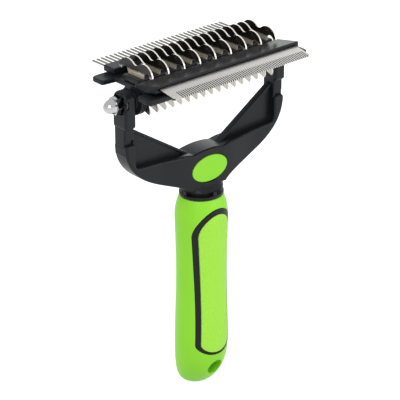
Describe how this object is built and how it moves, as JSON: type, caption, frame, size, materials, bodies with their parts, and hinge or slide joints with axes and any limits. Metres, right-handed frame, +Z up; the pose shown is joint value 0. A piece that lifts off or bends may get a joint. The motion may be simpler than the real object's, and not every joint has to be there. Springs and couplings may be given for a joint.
{
  "type": "dematting comb",
  "caption": "Hand-held pet dematting comb with a green grip, a black two-armed yoke and a turning head that carries a hooked rake, a pin comb, a shedding blade and a small rake.",
  "frame": {"origin": "centre of the flat foot of the handle, on the handle's axis", "axes": "+X along the head from the acorn nut to the bolt head, +Y to the pin comb at the back, +Z up along the handle to the head"},
  "size_m": [0.1152, 0.0644, 0.1873],
  "materials": {
    "black_plastic": "satin moulded black",
    "green_plastic": "satin bright green",
    "lime_rubber": "matte lime with a fine dot texture",
    "steel": "bright polished stainless steel",
    "chrome": "bright chrome",
    "nylon": "natural nylon"
  },
  "bodies": {
    "hand": {"yoke_frame": "black_plastic", "hub_badge": "green_plastic", "neck_collar": "black_plastic", "grip_shell": "green_plastic", "grip_band": "black_plastic", "grip_pad": "lime_rubber", "axle_bolt": "steel", "acorn_nut": "chrome", "nut_washer": "steel", "bolt_washer": "steel", "friction_washer_left": "nylon", "friction_washer_right": "nylon"},
    "head": {"head_core": "black_plastic", "comb_bar": "black_plastic", "comb_pins": "steel", "blade_bar": "black_plastic", "blade_plate": "steel", "rake_drum": "black_plastic", "lower_rail": "black_plastic", "lower_teeth": "steel", "rake_blade_double_01": "steel", "rake_blade_single_02": "steel", "rake_blade_double_03": "steel", "rake_blade_single_04": "steel", "rake_blade_double_05": "steel", "rake_blade_single_06": "steel", "rake_blade_double_07": "steel", "rake_blade_single_08": "steel", "rake_blade_double_09": "steel", "rake_blade_single_10": "steel", "rake_blade_double_11": "steel", "rake_blade_single_12": "steel", "rake_blade_double_13": "steel", "rake_blade_single_14": "steel", "rake_blade_double_15": "steel", "rake_blade_single_16": "steel", "rake_blade_double_17": "steel"}
  },
  "joints": [
    {"name": "head_turn", "type": "hinge", "parent": "hand", "child": "head", "pos_m": [0, 0, 0.169], "axis": [1, 0, 0], "range_deg": [-90, 90]}
  ]
}
